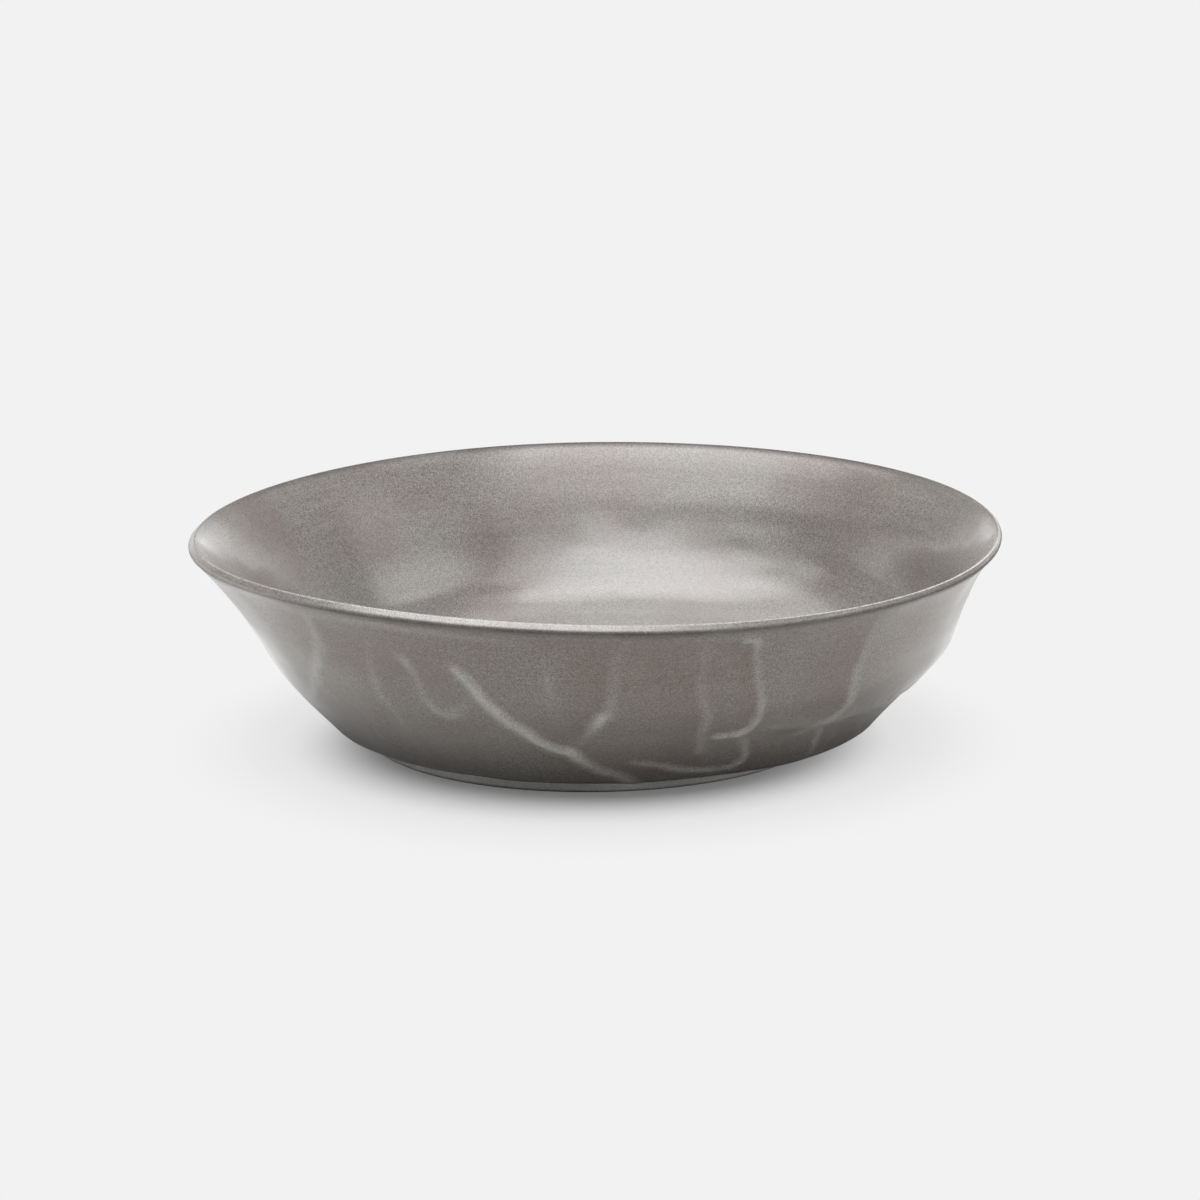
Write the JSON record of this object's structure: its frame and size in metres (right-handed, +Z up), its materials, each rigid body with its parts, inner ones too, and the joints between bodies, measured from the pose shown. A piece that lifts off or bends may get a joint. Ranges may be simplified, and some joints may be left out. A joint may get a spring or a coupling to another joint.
{
  "type": "deep serving bowl",
  "caption": "Deep round serving bowl in grey glazed stoneware: conical wall with a soft shoulder, flared square-cut lip, irregular raised ridges outside and a low unglazed foot ring.",
  "frame": {"origin": "on the table, under the middle of the foot ring", "axes": "+Z up along the bowl's axis, +X to the right and -Y toward the viewer of the picture"},
  "size_m": [0.3, 0.3, 0.0785],
  "materials": {
    "grey_glaze": "satin warm grey glaze, finely speckled, smooth and softly reflective",
    "ridge_glaze": "the same satin glaze where it breaks thin and paler over a raised ridge",
    "bare_clay": "wiped pale grey stoneware clay, dry and matte"
  },
  "bodies": {
    "root": {"bowl_body": "grey_glaze", "raised_ridges": "ridge_glaze", "foot_ring": "bare_clay"}
  },
  "joints": []
}
